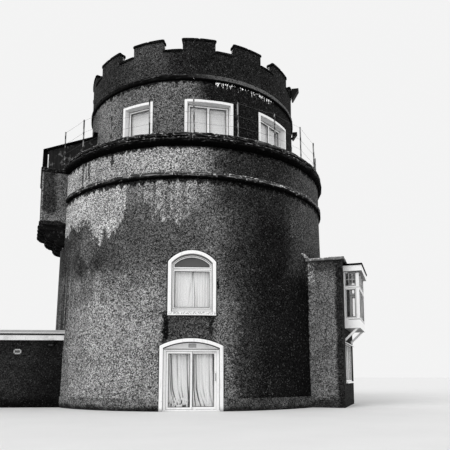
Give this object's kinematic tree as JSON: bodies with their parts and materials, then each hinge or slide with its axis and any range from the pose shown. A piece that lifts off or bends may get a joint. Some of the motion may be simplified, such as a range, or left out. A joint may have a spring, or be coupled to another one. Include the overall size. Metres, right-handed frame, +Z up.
{
  "type": "martello tower house",
  "caption": "Round coastal martello tower with a railed gallery, crenellated top storey, machicolation, side bay with oriel, and a low flat-roofed wing.",
  "frame": {"origin": "on the tower's vertical axis, at ground level", "axes": "+Z up; the patio door faces -Y; the bay stands towards +X and the low wing towards -X"},
  "size_m": [16.5951, 11.7949, 14.19],
  "materials": {
    "roughcast": "pebbledash render, damp and stained",
    "weathered_stone": "dark weathered stone",
    "concrete": "plain concrete and paving",
    "white_plaster": "smooth painted plaster",
    "white_frame": "white frames and painted boards",
    "glass": "clear glazing",
    "net_curtain": "pale net curtain",
    "roof_felt": "dark roofing felt",
    "dark_boarding": "dark stained boards",
    "rail_steel": "weathered galvanised steel",
    "dark_metal": "dark painted metal",
    "vent_and_lamp": "plastic vent grille and dark lamp",
    "rail_track": "white curtain track"
  },
  "bodies": {
    "tower": {"wall_beside_door": "roughcast", "wall_flanks": "roughcast", "wall_rear_flanks": "roughcast", "wall_rear_quarters": "roughcast", "wall_rear": "roughcast", "wall_over_openings": "roughcast", "wall_beside_window": "roughcast", "plinth": "roughcast", "upper_wall_piers": "roughcast", "upper_wall_panels": "roughcast", "parapet": "roughcast", "merlons": "roughcast", "bay_side_walls": "roughcast", "bay_outer_wall": "roughcast", "wing_walls": "roughcast", "machicolation_walls": "roughcast", "string_course": "weathered_stone", "cornice": "weathered_stone", "upper_string_course": "weathered_stone", "parapet_copings": "weathered_stone", "machicolation_corbels": "weathered_stone", "machicolation_coping": "weathered_stone", "bay_coping": "weathered_stone", "ground_floor": "concrete", "first_floor": "concrete", "vault": "concrete", "top_floor": "concrete", "gallery_paving": "concrete", "roof": "concrete", "door_surround": "white_plaster", "window_surround": "white_plaster", "upper_surrounds": "white_plaster", "door_frame": "white_frame", "door_head_panel": "white_frame", "door_fixed_leaf": "white_frame", "window_frame": "white_frame", "upper_window_frames": "white_frame", "bay_window_frame": "white_frame", "bay_window_hood": "white_frame", "oriel_base": "white_frame", "oriel_frame": "white_frame", "oriel_fascia": "white_frame", "oriel_brackets": "white_frame", "wing_fascia": "white_frame", "wing_rear_joinery": "white_frame", "glazing": "glass", "door_curtains": "net_curtain", "window_curtains": "net_curtain", "lean_to_roof": "roof_felt", "oriel_roof": "roof_felt", "wing_roof": "roof_felt", "lean_to_walls": "dark_boarding", "railing_posts": "rail_steel", "railing_wires": "rail_steel", "floodlights": "dark_metal", "wing_vent_and_lamp": "vent_and_lamp", "curtain_rails": "rail_track"},
    "sliding_door": {"sliding_leaf": "white_frame", "sliding_leaf_glass": "glass", "sliding_leaf_handle": "dark_metal"}
  },
  "joints": [
    {"name": "patio_door_slide", "type": "slide", "parent": "tower", "child": "sliding_door", "axis": [-1, 0, 0], "range_m": [0, 0.74]}
  ]
}
